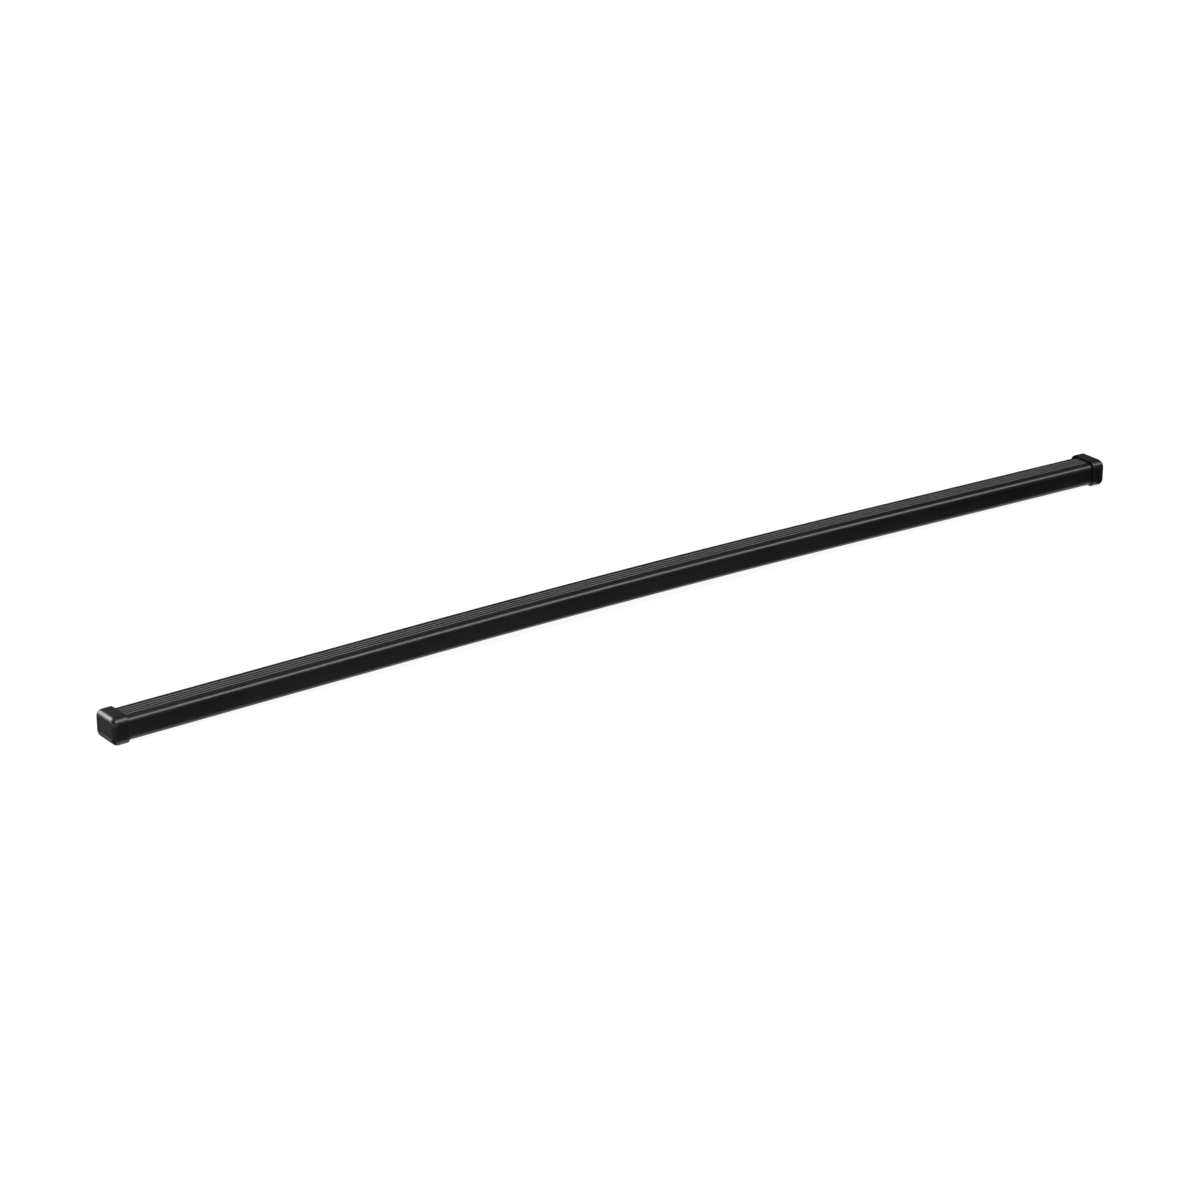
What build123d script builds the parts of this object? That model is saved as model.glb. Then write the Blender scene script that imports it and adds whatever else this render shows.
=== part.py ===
from build123d import *
from build123d.topology import SkipClean
import os
from math import cos, radians, sin, tan

# Roof rack crossbar: a steel tube in a ribbed plastic sleeve, with a moulded cap pushed into each end.
# The bar has two straight ends and a middle that bows gently upwards.
# Millimetres. X runs along the bar, Y across it and Z up. The origin is under mid-length, on the
# surface that the end caps rest on. Section sizes are measured across the bar, and up from the tube's axis.

# Bar
overall_length = 1180.0  # over both caps, measured along the bow
arched_length = 560.0  # middle stretch that is bowed
bow_angle = 1.7  # degrees that one straight end is turned from the other

# Steel tube
tube_width = 30.0
tube_height = 20.0
tube_wall = 2.0
tube_corner_radius = 4.0
tube_least_bore_radius = 0.5  # inner corners are never sharper than this

# Plastic sleeve, bonded to the tube
sleeve_wall = 1.0  # on the sides and the underside
sleeve_top_wall = 2.0  # on the load side, without the ribs
sleeve_top_radius = 6.0  # rounded upper edges

# Grip ribs on the sleeve's top
rib_count = 4
rib_pitch = 4.15
rib_width = 1.6  # at the foot
rib_flank_slope = 45.0  # degrees that the flanks rise from the sleeve's top
rib_crest_radius = 0.55

# End cap: skirt over the sleeve, end wall, and a plug inside the tube
skirt_clearance = 0.25  # between the skirt and the sleeve, and over the ribs
skirt_side_wall = 2.3
skirt_top_wall = 1.85
skirt_bottom_wall = 1.55
skirt_overlap = 12.0  # how far the skirt covers the sleeve
skirt_rim_radius = 0.8
cap_end_wall = 3.5
cap_low_radius = 6.9
cap_top_radius = 8.2
cap_end_radius = 5.5  # rounded edge all round the end face

# Shallow panel in the cap's end face
panel_side_margin = 5.8
panel_top_margin = 7.0
panel_bottom_margin = 5.7
panel_corner_radius = 2.5
panel_depth = 0.4
panel_wall_slope = 15.0  # degrees between the panel's walls and the way it is pressed in

# Plug
plug_length = 20.0
plug_wall = 2.0
plug_clearance = 0.4  # to the tube's inside
plug_tip_chamfer = 1.0
crush_rib_width = 1.5
crush_rib_lead = 3.0  # from the plug's tip to where the crush ribs start

# Section levels, up from the tube's axis
sleeve_width = tube_width + 2 * sleeve_wall
sleeve_low = -tube_height / 2 - sleeve_wall
sleeve_high = tube_height / 2 + sleeve_top_wall
sleeve_low_radius = tube_corner_radius + sleeve_wall
rib_flank_angle = radians(rib_flank_slope)
rib_height = rib_width / 2 * tan(rib_flank_angle) - rib_crest_radius * (1 / cos(rib_flank_angle) - 1)
rib_high = sleeve_high + rib_height
skirt_bore_width = sleeve_width + 2 * skirt_clearance
skirt_bore_low = sleeve_low - skirt_clearance
skirt_bore_high = rib_high + skirt_clearance
skirt_bore_radius = sleeve_low_radius + skirt_clearance
cap_width = skirt_bore_width + 2 * skirt_side_wall
cap_low = skirt_bore_low - skirt_bottom_wall
cap_high = skirt_bore_high + skirt_top_wall
tube_bore_width = tube_width - 2 * tube_wall
tube_bore_height = tube_height - 2 * tube_wall
tube_bore_radius = max(tube_corner_radius - tube_wall, tube_least_bore_radius)

# Places along the bow, from mid-length
bar_end = overall_length / 2 - cap_end_wall
skirt_edge = bar_end - skirt_overlap
arch_end = arched_length / 2
end_tilt = radians(bow_angle / 2)
bow_radius = arch_end / end_tilt


def drop_along(distance):
    """How far the tube's axis has come down, this far from mid-length on a straight end."""
    return bow_radius * (1 - cos(end_tilt)) + (distance - arch_end) * sin(end_tilt)


# The caps rest on the start of the rounded edge round their end faces
rest_distance = overall_length / 2 - cap_end_radius
axis_high = drop_along(rest_distance) - (cap_low + cap_end_radius) * cos(end_tilt) + cap_end_radius


def axis_point(distance, side):
    """Point of the tube's axis on a straight end. side is 1 for the right end and -1 for the left."""
    x = bow_radius * sin(end_tilt) + (distance - arch_end) * cos(end_tilt)
    return Vector(side * x, 0, axis_high - drop_along(distance))


def end_plane(side):
    """Plane across the bar's end that faces outwards, with its x axis across the bar and its y axis up."""
    outwards = Vector(side * cos(end_tilt), 0, -sin(end_tilt))
    return Plane(origin=axis_point(bar_end, side), x_dir=(0, side, 0), z_dir=outwards)


def rounded_outline(width, low, high, low_radius, high_radius):
    """Rectangle in section axes, from low to high, with rounded corners."""
    outline = Pos(0, (low + high) / 2) * Rectangle(width, high - low)
    outline = fillet(outline.vertices().group_by(Axis.Y)[0], low_radius)
    return fillet(outline.vertices().group_by(Axis.Y)[-1], high_radius)


def centred_outline(width, height, radius):
    """Rounded rectangle about the tube's axis."""
    return rounded_outline(width, -height / 2, height / 2, radius, radius)


def along_bar(section):
    """Solid with this section from one end of the bar to the other.

    The path has its own stretch under each cap, so that the flat run a foot clamps on is a face of its own.
    """
    left = [axis_point(distance, -1) for distance in (bar_end, skirt_edge, arch_end)]
    right = [axis_point(distance, 1) for distance in (arch_end, skirt_edge, bar_end)]
    crown = Vector(0, 0, axis_high)
    path = Wire(
        [
            Edge.make_line(left[0], left[1]),
            Edge.make_line(left[1], left[2]),
            Edge.make_three_point_arc(left[2], crown, right[0]),
            Edge.make_line(right[0], right[1]),
            Edge.make_line(right[1], right[2]),
        ]
    )
    start = Plane(origin=left[0], x_dir=(0, 1, 0), z_dir=left[1] - left[0])
    with SkipClean():
        return sweep(start * section, path=path, clean=False)


def make_tube():
    """Rectangular steel tube, bent to the bow."""
    outside = centred_outline(tube_width, tube_height, tube_corner_radius)
    bore = centred_outline(tube_bore_width, tube_bore_height, tube_bore_radius)
    return along_bar(outside - bore)


def make_rib_outline():
    """Rib with sloping flanks and a rounded crest, rooted half way down the sleeve's top wall."""
    root = -sleeve_top_wall / 2
    half = rib_width / 2
    crest_half = rib_crest_radius * sin(rib_flank_angle)
    flank_high = (half - crest_half) * tan(rib_flank_angle)
    crest = ThreePointArc((-crest_half, flank_high), (0, rib_height), (crest_half, flank_high))
    right_side = Polyline((crest_half, flank_high), (half, 0), (half, root))
    left_side = Polyline((-half, root), (-half, 0), (-crest_half, flank_high))
    return make_face(crest + right_side + Line((half, root), (-half, root)) + left_side)


def make_sleeve():
    """Plastic sleeve over the tube, with its grip ribs."""
    section = rounded_outline(sleeve_width, sleeve_low, sleeve_high, sleeve_low_radius, sleeve_top_radius)
    for index in range(rib_count):
        across = (index - (rib_count - 1) / 2) * rib_pitch
        section += Pos(across, sleeve_high) * make_rib_outline()
    section -= centred_outline(tube_width, tube_height, tube_corner_radius)
    return along_bar(section)


def make_plug():
    """Hollow plug that grips the tube's inside with crush ribs. It runs inwards from the end wall."""
    width = tube_bore_width - 2 * plug_clearance
    height = tube_bore_height - 2 * plug_clearance
    outside = centred_outline(width, height, tube_bore_radius)
    plug = extrude(outside, -plug_length)
    plug = chamfer(plug.edges().group_by(Axis.Z)[0], plug_tip_chamfer)
    crush_ribs = Rectangle(tube_bore_width, crush_rib_width)
    for across in (-tube_bore_width / 4, tube_bore_width / 4):
        crush_ribs += Pos(across, 0) * Rectangle(crush_rib_width, tube_bore_height)
    plug += extrude(crush_ribs, crush_rib_lead - plug_length)
    hollow = Rectangle(width - 2 * plug_wall, height - 2 * plug_wall)
    return plug - extrude(hollow, -plug_length)


def make_panel():
    """What the shallow panel takes out of the end face, narrowing inwards."""
    width = cap_width - 2 * panel_side_margin
    low = cap_low + panel_bottom_margin
    high = cap_high - panel_top_margin
    outline = rounded_outline(width, low, high, panel_corner_radius, panel_corner_radius)
    return extrude(Pos(0, 0, cap_end_wall) * outline, -panel_depth, taper=panel_wall_slope)


def make_cap():
    """End cap in its own axes: z runs outwards from the bar's end, y is up."""
    outline = rounded_outline(cap_width, cap_low, cap_high, cap_low_radius, cap_top_radius)
    cap = extrude(Pos(0, 0, -skirt_overlap) * outline, skirt_overlap + cap_end_wall)
    cap = fillet(cap.edges().group_by(Axis.Z)[-1], cap_end_radius)
    cap = fillet(cap.edges().group_by(Axis.Z)[0], skirt_rim_radius)
    bore = rounded_outline(
        skirt_bore_width, skirt_bore_low, skirt_bore_high, skirt_bore_radius, skirt_bore_radius
    )
    cap -= extrude(bore, -skirt_overlap)
    cap += make_plug()
    return cap - make_panel()


pieces = {
    "steel_tube": make_tube(),
    "ribbed_sleeve": make_sleeve(),
    "left_end_cap": end_plane(-1) * make_cap(),
    "right_end_cap": end_plane(1) * make_cap(),
}
os.makedirs("parts", exist_ok=True)
for name, piece in pieces.items():
    export_step(piece, f"parts/{name}.step")
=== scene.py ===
"""Roof rack crossbar: a steel tube in a ribbed plastic sleeve, with a moulded cap pushed into each end.

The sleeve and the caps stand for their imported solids, in the same form, as even meshes with edges and
finishes of their own. The steel tube keeps its solid. A plain white studio lights them.
"""

import logging
import math
from collections.abc import Callable, Iterable
from dataclasses import dataclass, field
from enum import Enum

import bmesh
import bpy
from mathutils import Matrix, Vector

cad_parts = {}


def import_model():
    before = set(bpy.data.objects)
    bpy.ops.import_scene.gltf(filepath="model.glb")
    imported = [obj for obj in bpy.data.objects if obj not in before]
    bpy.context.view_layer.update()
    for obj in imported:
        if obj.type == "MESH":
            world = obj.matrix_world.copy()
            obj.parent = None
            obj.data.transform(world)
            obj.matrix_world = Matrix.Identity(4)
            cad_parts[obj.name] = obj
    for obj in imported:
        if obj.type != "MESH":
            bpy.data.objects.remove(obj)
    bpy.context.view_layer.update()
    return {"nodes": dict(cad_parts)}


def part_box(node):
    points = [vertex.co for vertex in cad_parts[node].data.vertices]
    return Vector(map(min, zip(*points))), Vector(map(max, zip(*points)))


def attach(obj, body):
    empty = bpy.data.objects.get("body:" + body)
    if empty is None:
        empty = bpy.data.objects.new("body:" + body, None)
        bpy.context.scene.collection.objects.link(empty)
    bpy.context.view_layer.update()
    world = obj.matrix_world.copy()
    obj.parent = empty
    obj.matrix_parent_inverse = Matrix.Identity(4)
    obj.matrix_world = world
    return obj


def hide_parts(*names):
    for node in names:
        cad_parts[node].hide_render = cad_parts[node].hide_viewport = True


MM = 0.001
NEAR = 0.002  # mm within which two places count as one
BODY = "root"  # the one body of the part, since nothing on it moves
WHITE = (1.0, 1.0, 1.0, 1.0)
FROM, TO = ("From Min", "From Max"), ("To Min", "To Max")  # inputs of a Map Range node
COLOUR_A, COLOUR_B, COLOUR_OUT = 6, 7, 2  # sockets of a Mix node that hold colours
log = logging.getLogger("crossbar")

Point = tuple[float, float, float]
Plane = tuple[Point, Point]  # a point on it and its normal
Element = bmesh.types.BMVert | bmesh.types.BMEdge | bmesh.types.BMFace


class Node(Enum):
    """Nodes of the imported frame."""

    TUBE = "steel_tube"
    SLEEVE = "ribbed_sleeve"
    LEFT_CAP = "left_end_cap"
    RIGHT_CAP = "right_end_cap"


class Slot(Enum):
    """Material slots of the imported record."""

    SLEEVE = "sleeve_plastic"
    CAP = "cap_plastic"


class End(Enum):
    """Ends of the bar, each with the turn about the vertical that takes a right cap to it."""

    LEFT = math.pi
    RIGHT = 0.0


def linear(hex_colour: str) -> tuple[float, float, float, float]:
    """Turns an sRGB hex colour into the linear colour that shaders take.

    Args:
        hex_colour: Colour such as "#1c191c".

    Returns:
        Linear red, green and blue, and an alpha of 1.
    """
    parts = [int(hex_colour[i : i + 2], 16) / 255 for i in (1, 3, 5)]
    return (*[p / 12.92 if p <= 0.04045 else ((p + 0.055) / 1.055) ** 2.4 for p in parts], 1.0)


def empty_tree(owner: bpy.types.Material | bpy.types.World) -> bpy.types.NodeTree:
    """Turns on the nodes of a material or a world, and clears them.

    Args:
        owner: Material or world.

    Returns:
        Its empty node tree.
    """
    owner.use_nodes = True
    owner.node_tree.nodes.clear()
    return owner.node_tree


def add_node(
    tree: bpy.types.NodeTree,
    kind: str,
    inputs: dict[str | int, object] | None = None,
    stops: tuple[tuple[float, float], ...] = (),
    **settings: str,
) -> bpy.types.Node:
    """Adds a node to a tree, with its settings, its input values and its links.

    Args:
        tree: Node tree of a material or a world.
        kind: Blender's name for the node type, after "ShaderNode".
        inputs: Values or output sockets, by the name or number of the input that takes them.
        stops: Places from 0 to 1 and their levels of grey, for a colour ramp.
        settings: Properties of the node itself.

    Returns:
        The new node.
    """
    node = tree.nodes.new(f"ShaderNode{kind}")
    for name, value in settings.items():
        setattr(node, name, value)
    for name, value in (inputs or {}).items():
        if isinstance(value, bpy.types.NodeSocket):
            tree.links.new(value, node.inputs[name])
        else:
            node.inputs[name].default_value = value
    if stops:
        ramp = node.color_ramp.elements
        for place, _ in stops[1:-1]:
            ramp.new(place)
        for stop, (_, level) in zip(ramp, stops):
            stop.color = (level, level, level, 1.0)
    return node


def seen_share(tree: bpy.types.NodeTree) -> bpy.types.NodeSocket:
    """Adds the share that is 1 for what the camera sees and 0 for what only lights the bar.

    What the camera sees straight, in a shiny surface or through a clear one all counts as seen.

    Args:
        tree: Node tree of a material or a world.

    Returns:
        Output socket with the share.
    """
    rays = add_node(tree, "LightPath").outputs
    share = rays["Is Camera Ray"]
    for kind in ("Is Glossy Ray", "Is Transmission Ray"):
        share = add_node(tree, "Math", {0: share, 1: rays[kind]}, operation="MAXIMUM").outputs[0]
    return share


@dataclass(frozen=True)
class ExtrudedPvc:
    """Extruded PVC, satin black."""

    # To the eye it is near black, with faint lines along the bar from the die and a soft, uneven sheen
    name: str = "pvc_black_extruded_satin"
    deep: str = "#0b080b"
    pale: str = "#110c11"
    roughness: tuple[float, float] = (0.29, 0.36)
    ior: float = 1.5
    line_run: float = 350.0 * MM  # how far a die line goes on
    line_width: float = 0.7 * MM
    haze_size: float = 60.0 * MM
    grain_size: float = 0.4 * MM  # drawn coarser than the real grain of about 0.05 mm
    relief: float = 0.012 * MM
    noise_span: tuple[float, float] = (0.7, 1.3)  # what the lines and the haze mostly add up to

    def material(self, run: str) -> bpy.types.Material:
        """Makes the material.

        Args:
            run: Mesh attribute with each point's place as if the bar were straight.

        Returns:
            The new material.
        """
        material = bpy.data.materials.new(self.name)
        tree = empty_tree(material)
        place = add_node(tree, "Attribute", attribute_name=run).outputs["Vector"]
        stretch = (1 / self.line_run, 1 / self.line_width, 1 / self.line_width)
        along = add_node(tree, "VectorMath", {0: place, 1: stretch}, operation="MULTIPLY").outputs[0]
        lines = add_node(tree, "TexNoise", {"Vector": along, "Scale": 1.0}).outputs[0]
        haze = add_node(tree, "TexNoise", {"Vector": place, "Scale": 1 / self.haze_size}).outputs[0]
        grain = add_node(tree, "TexNoise", {"Vector": place, "Scale": 1 / self.grain_size}).outputs[0]
        both = add_node(tree, "Math", {0: lines, 1: haze}, operation="ADD").outputs[0]
        tone = add_node(tree, "MapRange", {"Value": both} | dict(zip(FROM, self.noise_span))).outputs[0]
        rough = add_node(tree, "MapRange", {"Value": tone} | dict(zip(TO, self.roughness))).outputs[0]
        hues = {0: tone, COLOUR_A: linear(self.deep), COLOUR_B: linear(self.pale)}
        colour = add_node(tree, "Mix", hues, data_type="RGBA").outputs[COLOUR_OUT]
        height = add_node(tree, "Math", {0: lines, 1: grain}, operation="ADD").outputs[0]
        bump = add_node(tree, "Bump", {"Height": height, "Distance": self.relief}).outputs[0]
        surface = {"Base Color": colour, "Roughness": rough, "Normal": bump, "IOR": self.ior}
        shader = add_node(tree, "BsdfPrincipled", surface).outputs[0]
        add_node(tree, "OutputMaterial", {"Surface": shader})
        return material


@dataclass(frozen=True)
class MouldedPlastic:
    """Moulded polypropylene, black with a fine grain."""

    # To the eye it is near black, with a cloudy sheen and highlights that the mould's even grain spreads
    name: str = "polypropylene_black_moulded_fine_grain"
    deep: str = "#0b080b"
    pale: str = "#110c11"
    roughness: tuple[float, float] = (0.29, 0.36)
    ior: float = 1.5
    grain_size: float = 0.5 * MM  # drawn coarser than the real grain of about 0.1 mm
    flow_size: float = 14.0 * MM
    relief: float = 0.03 * MM
    noise_span: tuple[float, float] = (0.35, 0.65)  # where the cloudy flow mostly lies

    def material(self) -> bpy.types.Material:
        """Makes the material.

        Returns:
            The new material.
        """
        material = bpy.data.materials.new(self.name)
        tree = empty_tree(material)
        place = add_node(tree, "TexCoord").outputs["Object"]
        flow = add_node(tree, "TexNoise", {"Vector": place, "Scale": 1 / self.flow_size}).outputs[0]
        grain = add_node(tree, "TexNoise", {"Vector": place, "Scale": 1 / self.grain_size}).outputs[0]
        tone = add_node(tree, "MapRange", {"Value": flow} | dict(zip(FROM, self.noise_span))).outputs[0]
        rough = add_node(tree, "MapRange", {"Value": tone} | dict(zip(TO, self.roughness))).outputs[0]
        hues = {0: grain, COLOUR_A: linear(self.deep), COLOUR_B: linear(self.pale)}
        colour = add_node(tree, "Mix", hues, data_type="RGBA").outputs[COLOUR_OUT]
        bump = add_node(tree, "Bump", {"Height": grain, "Distance": self.relief}).outputs[0]
        surface = {"Base Color": colour, "Roughness": rough, "Normal": bump, "IOR": self.ior}
        shader = add_node(tree, "BsdfPrincipled", surface).outputs[0]
        add_node(tree, "OutputMaterial", {"Surface": shader})
        return material


@dataclass(frozen=True)
class ZincSteel:
    """Zinc-coated steel, dull."""

    # To the eye it is a dull grey metal in patches of crystal, each a little lighter or darker
    name: str = "steel_zinc_coated_dull"
    deep: str = "#8b9093"
    pale: str = "#b3b7b8"
    roughness: tuple[float, float] = (0.30, 0.46)
    crystal_size: float = 7.0 * MM

    def material(self) -> bpy.types.Material:
        """Makes the material.

        Returns:
            The new material.
        """
        material = bpy.data.materials.new(self.name)
        tree = empty_tree(material)
        place = add_node(tree, "TexCoord").outputs["Object"]
        crystals = add_node(tree, "TexVoronoi", {"Vector": place, "Scale": 1 / self.crystal_size})
        tone = add_node(tree, "RGBToBW", {0: crystals.outputs["Color"]}).outputs[0]
        hues = {0: tone, COLOUR_A: linear(self.deep), COLOUR_B: linear(self.pale)}
        colour = add_node(tree, "Mix", hues, data_type="RGBA").outputs[COLOUR_OUT]
        rough = add_node(tree, "MapRange", {"Value": tone} | dict(zip(TO, self.roughness))).outputs[0]
        surface = {"Base Color": colour, "Roughness": rough, "Metallic": 1.0}
        shader = add_node(tree, "BsdfPrincipled", surface).outputs[0]
        add_node(tree, "OutputMaterial", {"Surface": shader})
        return material


@dataclass(frozen=True)
class Outline:
    """Rounded rectangle across the bar, in millimetres, with its levels up from the tube's axis."""

    width: float
    low: float
    high: float
    low_radius: float = 0.0
    high_radius: float = 0.0

    @property
    def height(self) -> float:
        """Height from the low side to the high side."""
        return self.high - self.low

    @property
    def middle(self) -> float:
        """Level half way up."""
        return (self.low + self.high) / 2

    def grown(self, side: float, low: float, high: float, radius: float) -> "Outline":
        """Makes an outline that stands off this one.

        Args:
            side: How far it stands off each side, or inside it if negative.
            low: How far it stands off the low side.
            high: How far it stands off the high side.
            radius: Radius of its corners.

        Returns:
            The new outline.
        """
        return Outline(self.width + 2 * side, self.low - low, self.high + high, radius, radius)


@dataclass(frozen=True)
class GripRibs:
    """Grip ribs on the sleeve's top, in millimetres: sloping flanks and a rounded crest."""

    count: int = 4
    pitch: float = 4.15
    foot: float = 1.6
    slope: float = math.radians(45.0)
    crest_radius: float = 0.55

    @property
    def crest_half(self) -> float:
        """Half the width of the rounded crest."""
        return self.crest_radius * math.sin(self.slope)

    @property
    def flank_high(self) -> float:
        """Height of a flank."""
        return (self.foot / 2 - self.crest_half) * math.tan(self.slope)

    @property
    def height(self) -> float:
        """Height of the crest."""
        return self.flank_high + self.crest_radius * (1 - math.cos(self.slope))

    @property
    def middles(self) -> list[float]:
        """Places of the ribs across the bar."""
        return [(index - (self.count - 1) / 2) * self.pitch for index in range(self.count)]


@dataclass(frozen=True)
class Bow:
    """Line of the tube's axis, in millimetres: straight at both ends, with a middle bowed up on an arc."""

    high: float  # over the floor at mid-length
    bar_end: float = 586.5  # from mid-length to the tube's cut end
    arch_end: float = 280.0  # from mid-length to the straight run
    end_tilt: float = math.radians(0.85)

    @classmethod
    def resting(cls, low: float, under: float) -> "Bow":
        """Finds the bow of a bar from how high its lowest edge lies.

        Args:
            low: Height over the floor of the underside at a cut end.
            under: Level of the underside, up from the tube's axis.

        Returns:
            The bow at its height.
        """
        lowered = cls(high=0.0)
        return cls(high=low - lowered.end_point.z - under * math.cos(lowered.end_tilt))

    @property
    def radius(self) -> float:
        """Radius of the arc."""
        return self.arch_end / self.end_tilt

    @property
    def centre(self) -> Vector:
        """Centre of the arc."""
        return Vector((0.0, 0.0, self.high - self.radius))

    @property
    def end_run(self) -> Vector:
        """Direction of the right end's straight run."""
        return Vector((math.cos(self.end_tilt), 0.0, -math.sin(self.end_tilt)))

    @property
    def end_point(self) -> Vector:
        """Point of the axis at the right end of the tube."""
        rise = Vector((math.sin(self.end_tilt), 0.0, math.cos(self.end_tilt)))
        return self.centre + rise * self.radius + self.end_run * (self.bar_end - self.arch_end)

    def straightened(self, point: Vector) -> Vector:
        """Finds the place of a point as if the bar were straight.

        Args:
            point: Point on the bowed bar.

        Returns:
            Its place along the axis, across the bar and up from the axis.
        """
        offset = point - self.centre
        angle = math.atan2(offset.x, offset.z)
        angle = min(max(angle, -self.end_tilt), self.end_tilt)
        rise = Vector((math.sin(angle), 0.0, math.cos(angle)))
        run = Vector((math.cos(angle), 0.0, -math.sin(angle)))
        rest = offset - rise * self.radius
        return Vector((self.radius * angle + rest.dot(run), point.y, rest.dot(rise)))


def lie_at(x: float, verts: Iterable[bmesh.types.BMVert]) -> bool:
    """Says whether vertices all lie at one place along the bar, in millimetres."""
    return all(abs(v.co.x / MM - x) < NEAR for v in verts)


@dataclass
class Workpiece:
    """Mesh while it is modelled in edit mode, with its lengths in millimetres."""

    name: str
    aside: float = 5.0  # how far off an outline is bridged
    crease: float = math.radians(20.0)  # a surface that turns further has a corner
    smooth: float = math.radians(30.0)  # a surface that turns less is shaded as one
    body: bpy.types.Object = field(init=False)

    def __post_init__(self) -> None:
        """Adds an empty mesh and opens it."""
        bpy.ops.object.select_all(action="DESELECT")
        bpy.ops.object.add(type="MESH", enter_editmode=True)
        self.body = bpy.context.object
        self.body.name = self.body.data.name = self.name

    def select(self, mode: str, test: Callable[[Element], bool]) -> None:
        """Selects the vertices, edges or faces that pass a test, and nothing else.

        Args:
            mode: "VERT", "EDGE" or "FACE".
            test: Takes the vertex, edge or face and says whether it is wanted.
        """
        bpy.ops.mesh.select_mode(type=mode)
        bpy.ops.mesh.select_all(action="DESELECT")
        mesh = bmesh.from_edit_mesh(self.body.data)
        for part in {"VERT": mesh.verts, "EDGE": mesh.edges, "FACE": mesh.faces}[mode]:
            if test(part):
                part.select = True
        mesh.select_flush_mode()
        bmesh.update_edit_mesh(self.body.data)

    def select_box(self, low: Point, high: Point) -> None:
        """Selects the vertices in a box, and the edges and faces between them.

        Args:
            low: Lowest corner.
            high: Highest corner.
        """
        self.select("VERT", lambda v: all(a - NEAR < c / MM < b + NEAR for a, c, b in zip(low, v.co, high)))

    def select_corners(self, x: float, half: float, level: float) -> None:
        """Selects the two corners of a rectangle across the bar that lie at one level.

        Args:
            x: Place along the bar.
            half: Half the rectangle's width.
            level: Level of the two corners.
        """
        corner = Vector((x, half, level))
        self.select("VERT", lambda v: (Vector((v.co.x, abs(v.co.y), v.co.z)) / MM - corner).length < NEAR)

    def select_open(self, x: float) -> None:
        """Selects the loops at one place along the bar that still lack a face on one side.

        Args:
            x: Place along the bar.
        """
        self.select("EDGE", lambda e: len(e.link_faces) < 2 and lie_at(x, e.verts))

    def select_creases(self, x: float) -> None:
        """Selects the edges at one place along the bar where the surface has a corner.

        Args:
            x: Place along the bar.
        """
        bpy.ops.mesh.select_all(action="SELECT")
        bpy.ops.mesh.normals_make_consistent(inside=False)
        self.select("EDGE", lambda e: lie_at(x, e.verts) and abs(e.calc_face_angle(0.0)) > self.crease)

    def add_outline(self, outline: Outline, x: float, segments: int = 12) -> None:
        """Adds an outline across the bar, as a loop of edges.

        Args:
            outline: Rounded rectangle.
            x: Place along the bar.
            segments: Steps in each rounded corner.
        """
        middle = Vector((x, 0.0, outline.middle)) * MM
        size = (1.0, outline.width * MM, outline.height * MM)
        half = outline.width / 2
        bpy.ops.mesh.select_all(action="DESELECT")
        bpy.ops.mesh.primitive_plane_add(size=1.0, location=middle, rotation=(0.0, math.pi / 2, 0.0))
        bpy.ops.transform.resize(value=size, center_override=middle)
        for level, radius in ((outline.low, outline.low_radius), (outline.high, outline.high_radius)):
            if radius:
                self.select_corners(x, half, level)
                self.soften(radius, segments, "VERTICES")
        self.select_box((x, -half, outline.low), (x, half, outline.high))
        bpy.ops.mesh.delete(type="ONLY_FACE")

    def fill_ring(self, outline: Outline, x: float) -> None:
        """Fills the ring between the open loop at one place along the bar and an outline inside it.

        The outline is bridged to the loop from a little way off, so that the two are matched point by
        point, and then slid into the loop's plane. It is left open and selected.

        Args:
            outline: Rounded rectangle inside the open loop.
            x: Place along the bar.
        """
        off = x + self.aside
        self.add_outline(outline, off)
        self.select("EDGE", lambda e: len(e.link_faces) < 2 and (lie_at(x, e.verts) or lie_at(off, e.verts)))
        bpy.ops.mesh.bridge_edge_loops()
        self.select_open(off)
        self.slide(-self.aside, 0.0, 0.0)

    def extrude(self, *offset: float) -> None:
        """Draws what is selected out along an offset, and leaves its new end selected."""
        bpy.ops.mesh.extrude_region_move(TRANSFORM_OT_translate={"value": Vector(offset) * MM})

    def slide(self, *offset: float) -> None:
        """Moves what is selected."""
        bpy.ops.transform.translate(value=Vector(offset) * MM)

    def draw_in(self, outline: Outline, x: float, inset: float) -> None:
        """Makes the selected loop smaller, by the same step on every side.

        Args:
            outline: Outline that the loop has so far.
            x: Place along the bar.
            inset: How far each side is drawn in.
        """
        scale = (1.0, 1 - 2 * inset / outline.width, 1 - 2 * inset / outline.height)
        middle = Vector((x, 0.0, outline.middle)) * MM
        bpy.ops.transform.resize(value=scale, center_override=middle)

    def cut(self, low: Point, high: Point, planes: list[Plane]) -> None:
        """Cuts the faces in a box along planes.

        Args:
            low: Lowest corner of the box.
            high: Highest corner of the box.
            planes: Planes to cut along.
        """
        for point, normal in planes:
            self.select_box(low, high)
            bpy.ops.mesh.bisect(plane_co=Vector(point) * MM, plane_no=normal)

    def soften(self, radius: float, segments: int, affect: str = "EDGES") -> None:
        """Rounds the selected edges, or the selected corners of a flat face."""
        bpy.ops.mesh.bevel(offset=radius * MM, segments=segments, affect=affect, clamp_overlap=False)

    def close(self) -> None:
        """Merges doubled points, turns the normals outwards and leaves edit mode."""
        bpy.ops.mesh.select_mode(type="VERT")
        bpy.ops.mesh.select_all(action="SELECT")
        bpy.ops.mesh.remove_doubles(threshold=NEAR * MM)
        bpy.ops.mesh.normals_make_consistent(inside=False)
        bpy.ops.object.mode_set(mode="OBJECT")

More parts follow.
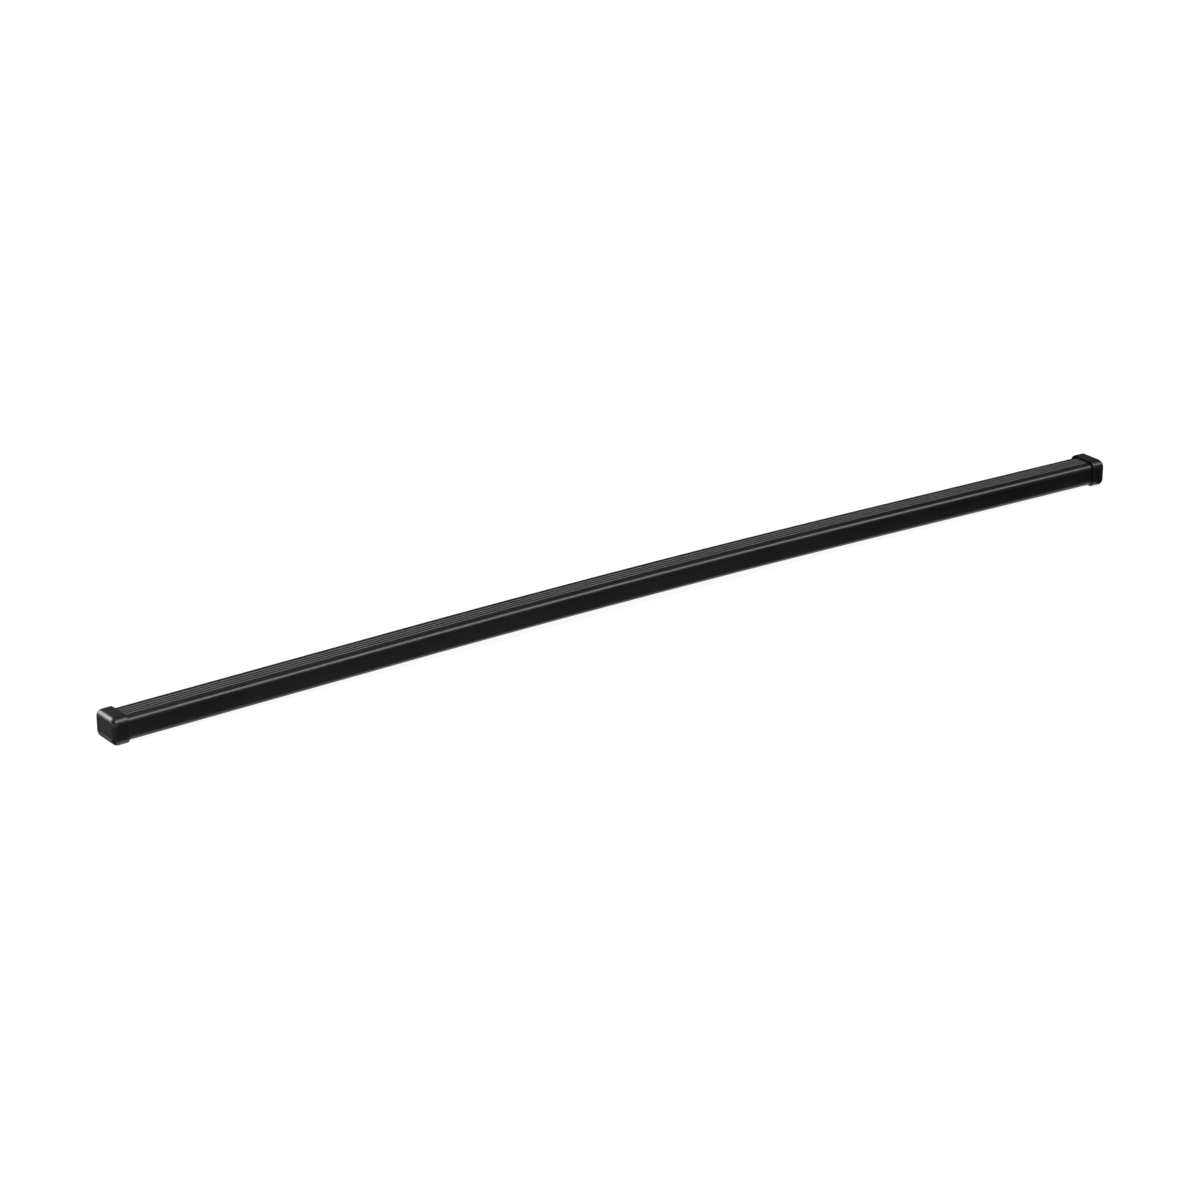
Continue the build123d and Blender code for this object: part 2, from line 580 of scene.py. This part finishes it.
    def modify(self, kind: str, **settings: float) -> None:
        """Adds a modifier to the closed mesh and applies it.

        Args:
            kind: Blender's name for the modifier type.
            settings: Properties of the modifier.
        """
        bpy.ops.object.modifier_add(type=kind)
        modifier = self.body.modifiers[-1]
        for name, value in settings.items():
            setattr(modifier, name, value)
        bpy.ops.object.modifier_apply(modifier=modifier.name)

    def shade(self) -> None:
        """Shades the rounded faces smoothly, and keeps the flat ones flat."""
        bpy.ops.object.shade_smooth_by_angle(angle=self.smooth)
        self.modify("WEIGHTED_NORMAL", keep_sharp=True)


def enter(piece: bpy.types.Object, node: Node) -> None:
    """Puts a finished piece in the frame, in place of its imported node.

    Args:
        piece: Finished piece, in place.
        node: Node that it stands for.
    """
    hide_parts(node.value)
    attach(piece, BODY)
    log.info("%s: %d faces, stands for %s", piece.name, len(piece.data.polygons), node.value)


@dataclass
class Sleeve:
    """Plastic sleeve drawn over the tube, in millimetres, with its grip ribs."""

    bow: Bow
    outside: Outline = Outline(width=32.0, low=-11.0, high=12.0, low_radius=5.0, high_radius=6.0)
    ribs: GripRibs = GripRibs()
    wall: float = 1.0  # on the sides and the underside
    top_wall: float = 2.0
    arch_steps: int = 14
    straight_steps: int = 15
    crest_steps: int = 8
    bore_steps: int = 6  # in each corner round the tube
    run: str = "bar_run"
    piece: bpy.types.Object = field(init=False)

    def build(self) -> None:
        """Models the section at mid-length, draws it along the bow to the right end and mirrors it."""
        work = Workpiece("sleeve_extrusion")
        self.add_outside(work)
        self.draw_along(work)
        wall = self.wall
        bore = self.outside.grown(-wall, -wall, -self.top_wall, self.outside.low_radius - wall)
        work.add_outline(self.lifted(bore), 0.0, self.bore_steps)
        work.select("EDGE", lambda e: not e.link_faces)
        self.draw_along(work)
        self.fill_end(work)
        work.close()
        work.modify("MIRROR", merge_threshold=NEAR * MM)
        work.shade()
        self.piece = work.body

    def lifted(self, outline: Outline) -> Outline:
        """Raises an outline from the tube's axis to its height over the floor at mid-length.

        Args:
            outline: Outline about the tube's axis.

        Returns:
            The outline over the floor.
        """
        low, high = outline.low + self.bow.high, outline.high + self.bow.high
        return Outline(outline.width, low, high, outline.low_radius, outline.high_radius)

    def add_outside(self, work: Workpiece) -> None:
        """Adds the sleeve's outside at mid-length, with the ribs drawn into its top, and selects it.

        Args:
            work: Mesh to add it to.
        """
        outer = self.lifted(self.outside)
        top = outer.high
        edge = outer.width / 2 - outer.high_radius
        work.add_outline(outer, 0.0)
        work.select("EDGE", lambda e: all(abs(v.co.z / MM - top) < NEAR for v in e.verts))
        bpy.ops.mesh.delete(type="EDGE")
        work.select_box((0.0, -edge, top), (0.0, -edge, top))
        place = -edge
        for middle in self.ribs.middles:
            foot, crest = middle - self.ribs.foot / 2, middle - self.ribs.crest_half
            work.extrude(0.0, foot - place, 0.0)
            work.extrude(0.0, crest - foot, self.ribs.flank_high)
            hub = Vector((0.0, middle, top + self.ribs.height - self.ribs.crest_radius)) * MM
            turn = 2 * self.ribs.slope
            bpy.ops.mesh.spin(steps=self.crest_steps, angle=turn, center=hub, axis=(1.0, 0.0, 0.0))
            work.extrude(0.0, crest - foot, -self.ribs.flank_high)
            place = middle + self.ribs.foot / 2
        work.extrude(0.0, edge - place, 0.0)
        bpy.ops.mesh.select_all(action="SELECT")
        bpy.ops.mesh.remove_doubles(threshold=NEAR * MM)

    def draw_along(self, work: Workpiece) -> None:
        """Draws the selected loop from mid-length to the right end: round the arc, then straight.

        Args:
            work: Mesh with the loop.
        """
        centre, turn = self.bow.centre * MM, -self.bow.end_tilt
        bpy.ops.mesh.spin(steps=self.arch_steps, angle=turn, center=centre, axis=(0.0, 1.0, 0.0))
        step = self.bow.end_run * (self.bow.bar_end - self.bow.arch_end) / self.straight_steps
        for _ in range(self.straight_steps):
            work.extrude(*step)

    def fill_end(self, work: Workpiece) -> None:
        """Fills the cut end between the outside and the bore.

        The bore's loop is bridged from a little way off, as the rings of the caps are.

        Args:
            work: Mesh with both loops open, and the bore's selected.
        """
        ahead = self.bow.end_run * work.aside
        work.slide(*ahead)
        work.select("EDGE", lambda e: len(e.link_faces) < 2 and e.verts[0].co.x / MM > self.bow.arch_end)
        bpy.ops.mesh.bridge_edge_loops()
        work.select("VERT", lambda v: v.co.x / MM > self.bow.bar_end + work.aside / 2)
        work.slide(*-ahead)

    def dress(self, finish: ExtrudedPvc) -> None:
        """Gives the sleeve its finish, drawn along the bow.

        Args:
            finish: Finish of the sleeve.
        """
        mesh = self.piece.data
        places = [self.bow.straightened(v.co / MM) * MM for v in mesh.vertices]
        run = mesh.attributes.new(self.run, "FLOAT_VECTOR", "POINT")
        run.data.foreach_set("vector", [c for place in places for c in place])
        mesh.materials.append(finish.material(self.run))
        enter(self.piece, Node.SLEEVE)


@dataclass
class EndCaps:
    """Two moulded end caps, in millimetres: skirt, end wall, panel and plug.

    They are modelled once, with x outwards from the bar's end.
    """

    sleeve: Sleeve
    clearance: float = 0.25  # between the skirt and the sleeve, and over the ribs
    side_wall: float = 2.3
    top_wall: float = 1.85
    bottom_wall: float = 1.55
    overlap: float = 12.0  # how far the skirt covers the sleeve
    end_wall: float = 3.5
    low_radius: float = 6.9
    top_radius: float = 8.2
    end_radius: float = 5.5
    rim_radius: float = 0.8
    panel_margins: tuple[float, float, float] = (5.8, 5.7, 7.0)  # at the sides, below and above
    panel_radius: float = 2.5
    panel_depth: float = 0.4
    panel_draft: float = math.radians(15.0)
    plug: Outline = Outline(width=25.2, low=-7.6, high=7.6, low_radius=2.0, high_radius=2.0)
    plug_length: float = 20.0
    plug_wall: float = 2.0
    plug_chamfer: float = 1.0
    crush_rib: float = 1.5  # width of a crush rib
    crush_height: float = 0.4  # from the plug to the tube's inside
    crush_lead: float = 3.0  # from the plug's tip to where the crush ribs start
    crush_root: float = 0.4  # from where they end to the end wall
    broken_edge: float = 0.12  # how far the mould's sharp corners are rounded
    pieces: dict[End, bpy.types.Object] = field(default_factory=dict)

    @property
    def bore(self) -> Outline:
        """Outline of the skirt's inside."""
        sleeve, room = self.sleeve.outside, self.clearance
        return sleeve.grown(room, room, self.sleeve.ribs.height + room, sleeve.low_radius + room)

    @property
    def outside(self) -> Outline:
        """Outline of the skirt's outside."""
        bore = self.bore
        low, high = bore.low - self.bottom_wall, bore.high + self.top_wall
        return Outline(bore.width + 2 * self.side_wall, low, high, self.low_radius, self.top_radius)

    def build(self) -> None:
        """Models one cap, and copies it to both ends of the bar."""
        work = Workpiece("end_cap")
        self.add_shell(work)
        self.add_panel(work)
        self.add_skirt(work)
        self.add_plug(work)
        self.add_crush_ribs(work)
        for x in (self.end_wall, self.end_wall - self.panel_depth, -self.overlap):
            work.select_creases(x)
            work.soften(self.broken_edge, segments=2)
        work.close()
        work.shade()
        for end in End:
            self.pieces[end] = self.place(work.body, end)
        bpy.data.objects.remove(work.body)

    def add_shell(self, work: Workpiece) -> None:
        """Adds the outside of the cap with its rounded end, open where the panel and the skirt's bore come.

        Args:
            work: Mesh to add it to.
        """
        work.add_outline(self.outside, self.end_wall)
        work.select_open(self.end_wall)
        work.extrude(-self.overlap - self.end_wall, 0.0, 0.0)
        work.select_open(self.end_wall)
        bpy.ops.mesh.edge_face_add()
        work.select_creases(self.end_wall)
        work.soften(self.end_radius, segments=12)
        work.select("FACE", lambda f: lie_at(self.end_wall, f.verts))
        bpy.ops.mesh.delete(type="ONLY_FACE")

    def add_panel(self, work: Workpiece) -> None:
        """Adds the shallow panel in the end face.

        Args:
            work: Mesh to add it to.
        """
        side, low, high = self.panel_margins
        panel = self.outside.grown(-side, -low, -high, self.panel_radius)
        work.fill_ring(panel, self.end_wall)
        work.extrude(-self.panel_depth, 0.0, 0.0)
        inset = self.panel_depth * math.tan(self.panel_draft)
        work.draw_in(panel, self.end_wall - self.panel_depth, inset)
        bpy.ops.mesh.edge_face_add()

    def add_skirt(self, work: Workpiece) -> None:
        """Adds the skirt's rounded rim and its bore, in to the end wall.

        Args:
            work: Mesh to add it to.
        """
        work.fill_ring(self.bore, -self.overlap)
        work.select_creases(-self.overlap)
        work.soften(self.rim_radius, segments=5)
        work.select_open(-self.overlap)
        work.extrude(self.overlap, 0.0, 0.0)

    def add_plug(self, work: Workpiece) -> None:
        """Adds the hollow plug that goes into the tube, with its chamfered tip.

        Args:
            work: Mesh to add it to.
        """
        work.fill_ring(self.plug, 0.0)
        work.extrude(self.plug_chamfer - self.plug_length, 0.0, 0.0)
        work.extrude(-self.plug_chamfer, 0.0, 0.0)
        work.draw_in(self.plug, -self.plug_length, self.plug_chamfer)
        wall = self.plug_wall
        work.fill_ring(self.plug.grown(-wall, -wall, -wall, 0.0), -self.plug_length)
        work.extrude(self.plug_length, 0.0, 0.0)
        bpy.ops.mesh.edge_face_add()

    def add_crush_ribs(self, work: Workpiece) -> None:
        """Raises the crush ribs on the plug: one on each side, two above and two below.

        Args:
            work: Mesh to add them to.
        """
        y, z, half = self.plug.width / 2, self.plug.high, self.crush_rib / 2
        deep, flat = self.plug_chamfer - self.plug_length, y - self.plug.low_radius
        tip, root = self.crush_lead - self.plug_length, -self.crush_root
        quarter = (self.plug.width + 2 * self.crush_height) / 4
        places = (-quarter, quarter)
        ends = [((x, 0.0, 0.0), (1.0, 0.0, 0.0)) for x in (tip, root)]
        levels = [((0.0, 0.0, level), (0.0, 0.0, 1.0)) for level in (-half, half)]
        edges = [((0.0, place + step, 0.0), (0.0, 1.0, 0.0)) for place in places for step in (-half, half)]
        for side in (-1, 1):
            work.cut((deep, side * y, self.plug.low), (0.0, side * y, self.plug.high), ends + levels)
            work.select_box((tip, side * y, -half), (root, side * y, half))
            work.extrude(0.0, side * self.crush_height, 0.0)
            work.cut((deep, -flat, side * z), (0.0, flat, side * z), ends + edges)
            for place in places:
                work.select_box((tip, place - half, side * z), (root, place + half, side * z))
                work.extrude(0.0, 0.0, side * self.crush_height)

    def place(self, model: bpy.types.Object, end: End) -> bpy.types.Object:
        """Copies the modelled cap to one end of the bar.

        Args:
            model: Cap with x outwards from the bar's end.
            end: End of the bar.

        Returns:
            The copy, in place, with a mesh of its own.
        """
        cap = model.copy()
        cap.data = model.data.copy()
        cap.name = cap.data.name = f"{end.name.lower()}_cap_moulding"
        bpy.context.scene.collection.objects.link(cap)
        bow = self.sleeve.bow
        at_end = Matrix.Translation(bow.end_point * MM) @ Matrix.Rotation(bow.end_tilt, 4, "Y")
        cap.matrix_world = Matrix.Rotation(end.value, 4, "Z") @ at_end
        bpy.ops.object.select_all(action="DESELECT")
        bpy.context.view_layer.objects.active = cap
        cap.select_set(True)
        bpy.ops.object.transform_apply(location=True, rotation=True, scale=True)
        return cap

    def dress(self, finish: MouldedPlastic) -> None:
        """Gives the caps their finish.

        Args:
            finish: Finish of both caps.
        """
        material = finish.material()
        for end, cap in self.pieces.items():
            cap.data.materials.append(material)
            enter(cap, Node[f"{end.name}_CAP"])


@dataclass
class SteelTube:
    """Steel tube inside the sleeve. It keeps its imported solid."""

    node: bpy.types.Object

    def dress(self, finish: ZincSteel) -> None:
        """Gives the tube its finish.

        Args:
            finish: Finish of the tube.
        """
        self.node.data.materials.clear()
        self.node.data.materials.append(finish.material())
        log.info("%s: keeps its solid", self.node.name)


@dataclass(frozen=True)
class Softbox:
    """Soft rectangular lamp, in metres, with its long side along the bar."""

    name: str
    place: Point
    aim: Point
    length: float
    width: float
    radiance: float  # seen straight from the front
    spread: float = math.pi  # angle that the grid on its front lets light out in

    def build(self) -> None:
        """Adds the lamp, turned to what it is aimed at."""
        data = bpy.data.lights.new(self.name, "AREA")
        data.shape = "RECTANGLE"
        data.size, data.size_y = self.length, self.width
        half = self.spread / 2
        passed = 1 - half / math.tan(half)  # share of the light that the grid lets through
        data.spread = self.spread
        data.energy = self.radiance * math.pi * self.length * self.width * passed
        lamp = bpy.data.objects.new(self.name, data)
        bpy.context.scene.collection.objects.link(lamp)
        back = (Vector(self.place) - Vector(self.aim)).normalized()
        along = Vector((1.0, 0.0, 0.0))
        along = (along - back * along.dot(back)).normalized()
        turn = Matrix((along, back.cross(along), back)).transposed().to_4x4()
        lamp.matrix_world = Matrix.Translation(self.place) @ turn
        lamp.visible_camera = False


@dataclass
class ReflectionTray:
    """Grey tray that only reflections see, in millimetres, with a slot under the bar for the white floor.

    Its glowing greys are painted reflections that keep the black plastic deep, where a studio has flags.
    """

    run: tuple[float, float] = (-660.0, 1200.0)  # from its left edge to its right one
    half: float = 800.0  # from the bar to its front and back edges
    lift: float = 0.1  # over the floor
    wall: float = 450.0  # height of the walls at the front and on the right
    back_wall: float = 250.0  # height of the wall at the back, which hides the white horizon
    slot_half: tuple[float, float] = (583.0, 25.0)  # half the slot's length and width
    corner_from: float = -10.0  # across the bar, where the slot's front left corner starts to widen
    corner_reach: float = 12.0  # how far that corner goes out under the near cap
    painted_reflection_along: tuple[tuple[float, float], ...] = (  # places along the bar, and how bright the painted reflection is there
        (-600.0, 0.75),
        (-575.0, 0.5),
        (-500.0, 0.6),
        (-360.0, 0.95),
        (-150.0, 0.95),
        (330.0, 0.52),
        (500.0, 0.08),
        (610.0, 0.08),
        (640.0, 0.90),
    )
    painted_reflection_across: tuple[tuple[float, float], ...] = (  # places across the bar, and the share of that painted reflection
        (-80.0, 0.13),
        (-25.0, 0.21),
        (30.0, 0.31),
        (100.0, 0.31),
        (140.0, 0.12),
    )
    piece: bpy.types.Object = field(init=False)

    def build(self) -> None:
        """Models the tray: a sheet with its slot and three walls."""
        work = Workpiece("reflection_tray")
        left, right = self.run
        middle = Vector(((left + right) / 2, 0.0, self.lift)) * MM
        size = ((right - left) * MM, 2 * self.half * MM, 1.0)
        bpy.ops.mesh.primitive_plane_add(size=1.0, location=middle)
        bpy.ops.transform.resize(value=size, center_override=middle)
        self.open_slot(work)
        for low, high, height in (
            ((left, self.half), (right, self.half), self.back_wall),
            ((left, -self.half), (right, -self.half), self.wall),
            ((right, -self.half), (right, self.half), self.wall),
        ):
            work.select_box((*low, self.lift), (*high, self.lift))
            work.extrude(0.0, 0.0, height)
        work.close()
        self.piece = work.body

    def open_slot(self, work: Workpiece) -> None:
        """Opens the slot, and draws its front left corner out under the near cap's corner.

        Args:
            work: Mesh with the tray's sheet.
        """
        left, right = self.run
        long, wide = self.slot_half
        ends = [((x, 0.0, 0.0), (1.0, 0.0, 0.0)) for x in (-long, long)]
        sides = [((0.0, y, 0.0), (0.0, 1.0, 0.0)) for y in (-wide, self.corner_from, wide)]
        work.cut((left, -self.half, self.lift), (right, self.half, self.lift), ends + sides)
        corner = (-long, -wide, self.lift)
        work.select_box(corner, (long, wide, self.lift))
        bpy.ops.mesh.delete(type="FACE")
        work.select_box(corner, corner)
        work.slide(-self.corner_reach, 0.0, 0.0)

    def dress(self) -> None:
        """Makes the tray glow in its greys of painted reflection, seen in reflections alone."""
        material = bpy.data.materials.new("tray_painted_reflection_glow")
        tree = empty_tree(material)
        place = add_node(tree, "SeparateXYZ", {0: add_node(tree, "TexCoord").outputs["Object"]}).outputs
        levels = []
        for axis, glow in (("X", self.painted_reflection_along), ("Y", self.painted_reflection_across)):
            first, last = glow[0][0], glow[-1][0]
            span = {"Value": place[axis]} | dict(zip(FROM, (first * MM, last * MM)))
            share = add_node(tree, "MapRange", span).outputs[0]
            stops = tuple(((at - first) / (last - first), level) for at, level in glow)
            levels.append(add_node(tree, "ValToRGB", {0: share}, stops).outputs[0])
        # the glow is painted reflection: greys set along and across the bar for the plastic to mirror
        shader = add_node(tree, "Emission", {"Color": levels[0], "Strength": levels[1]}).outputs[0]
        add_node(tree, "OutputMaterial", {"Surface": shader})
        tray = self.piece
        tray.data.materials.append(material)
        tray.visible_camera = tray.visible_diffuse = tray.visible_shadow = tray.visible_transmission = False


@dataclass
class Studio:
    """Camera, lamps, white floor and backdrop, in metres."""

    azimuth: float = math.radians(-35.478)
    elevation: float = math.radians(21.708)
    distance: float = 3.880
    lens: float = 120.5  # mm
    sensor: float = 36.0  # mm
    aim: Point = (-0.04674, 0.0, 0.01132)
    key: Softbox = Softbox(  # draws the light line along the front's upper edge
        "key", place=(0.85, -1.06, 1.81), aim=(1.15, 0.0, 0.0), length=5.2, width=0.8, radiance=6.6
    )
    rim: Softbox = Softbox(  # lights the upper edge of the near cap's end
        "rim",
        place=(-0.935, 0.683, 0.300),
        aim=(-0.59, 0.0, 0.01),
        length=0.567,
        width=0.55,
        radiance=12.0,
        spread=math.radians(60.0),
    )
    # grey sheet of painted reflections, seen only in the plastic
    tray: ReflectionTray = field(default_factory=ReflectionTray)
    horizon: tuple[float, float] = (0.20, 0.15)  # rises of a ray between which the room gives way to white
    room_turn: tuple[float, float] = (0.36, 0.60)  # how far right a ray goes where the room grows dimmer
    room_levels: tuple[float, float] = (0.24, 0.075)  # the room's brightness left and right of that
    floor_size: float = 80.0
    floor_grey: float = 0.8
    floor_glow: float = 1.1
    floor_reach: tuple[float, float] = (0.8, 1.6)  # distances from the middle that the shadow thins between
    floor_shares: tuple[float, float] = (0.85, 0.91)  # share of the floor's look that glows, near and far

    def build(self) -> None:
        """Sets up everything around the bar."""
        bpy.context.scene.view_settings.view_transform = "Standard"
        self.add_camera()
        self.add_backdrop()
        self.add_floor()
        self.tray.build()
        self.tray.dress()
        for lamp in (self.key, self.rim):
            lamp.build()

    def add_camera(self) -> None:
        """Adds the camera at the place the photograph was taken from."""
        flat = math.cos(self.elevation)
        x, y = math.sin(self.azimuth) * flat, -math.cos(self.azimuth) * flat
        back = Vector((x, y, math.sin(self.elevation)))
        data = bpy.data.cameras.new("camera")
        data.lens, data.sensor_width = self.lens, self.sensor
        camera = bpy.data.objects.new("camera", data)
        bpy.context.scene.collection.objects.link(camera)
        camera.location = Vector(self.aim) + back * self.distance
        camera.rotation_euler = (-back).to_track_quat("-Z", "Y").to_euler()
        bpy.context.scene.camera = camera

    def add_backdrop(self) -> None:
        """Adds the surroundings: white for the camera, and a dim room for light and for reflections.

        The room is dimmer on the right, and reflections near the horizon are white.
        """
        world = bpy.data.worlds.new("studio")
        bpy.context.scene.world = world
        tree = empty_tree(world)
        way = add_node(tree, "SeparateXYZ", {0: add_node(tree, "TexCoord").outputs["Generated"]}).outputs
        fade = {"Value": way["Z"]} | dict(zip(FROM, self.horizon))
        low = add_node(tree, "MapRange", fade, interpolation_type="SMOOTHSTEP").outputs[0]
        share = add_node(tree, "Math", {0: seen_share(tree), 1: low}, operation="MULTIPLY").outputs[0]
        straight = add_node(tree, "LightPath").outputs["Is Camera Ray"]
        share = add_node(tree, "Math", {0: share, 1: straight}, operation="MAXIMUM").outputs[0]
        dimming = {"Value": way["X"]} | dict(zip(FROM, self.room_turn)) | dict(zip(TO, self.room_levels))
        level = add_node(tree, "MapRange", dimming).outputs[0]
        room = add_node(tree, "Background", {"Color": WHITE, "Strength": level}).outputs[0]
        white = add_node(tree, "Background", {"Color": WHITE, "Strength": 1.0}).outputs[0]
        mix = add_node(tree, "MixShader", {0: share, 1: room, 2: white}).outputs[0]
        add_node(tree, "OutputWorld", {"Surface": mix})

    def add_floor(self) -> None:
        """Adds the pale floor, seen as white but for the bar's soft shadow, and clear from below."""
        bpy.ops.object.select_all(action="DESELECT")
        bpy.ops.mesh.primitive_plane_add(size=self.floor_size)
        floor = bpy.context.object
        floor.name = "studio_floor"
        material = bpy.data.materials.new("floor_pale_matt")
        tree = empty_tree(material)
        place = add_node(tree, "TexCoord").outputs["Object"]
        far = add_node(tree, "VectorMath", {0: place}, operation="LENGTH").outputs["Value"]
        thinning = {"Value": far} | dict(zip(FROM, self.floor_reach)) | dict(zip(TO, self.floor_shares))
        own = add_node(tree, "MapRange", thinning).outputs[0]
        share = add_node(tree, "Math", {0: seen_share(tree), 1: own}, operation="MULTIPLY").outputs[0]
        grey = (self.floor_grey, self.floor_grey, self.floor_grey, 1.0)
        pale = add_node(tree, "BsdfDiffuse", {"Color": grey}).outputs[0]
        white = add_node(tree, "Emission", {"Color": WHITE, "Strength": self.floor_glow}).outputs[0]
        top = add_node(tree, "MixShader", {0: share, 1: pale, 2: white}).outputs[0]
        below = add_node(tree, "NewGeometry").outputs["Backfacing"]
        clear = add_node(tree, "BsdfTransparent").outputs[0]
        both = add_node(tree, "MixShader", {0: below, 1: top, 2: clear}).outputs[0]
        add_node(tree, "OutputMaterial", {"Surface": both})
        floor.data.materials.append(material)


def main() -> None:
    """Builds the pieces in the frame, dresses them and sets up the studio."""
    logging.basicConfig(level=logging.INFO, format="%(message)s")
    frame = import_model()
    sleeve_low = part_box(Node.SLEEVE.value)[0].z / MM
    sleeve = Sleeve(Bow.resting(sleeve_low, Sleeve.outside.low))
    sleeve.build()
    sleeve.dress(ExtrudedPvc())
    caps = EndCaps(sleeve)
    caps.build()
    caps.dress(MouldedPlastic())
    tube = SteelTube(frame["nodes"][Node.TUBE.value])
    tube.dress(ZincSteel())
    studio = Studio()
    studio.build()


if __name__ == "__main__":
    main()
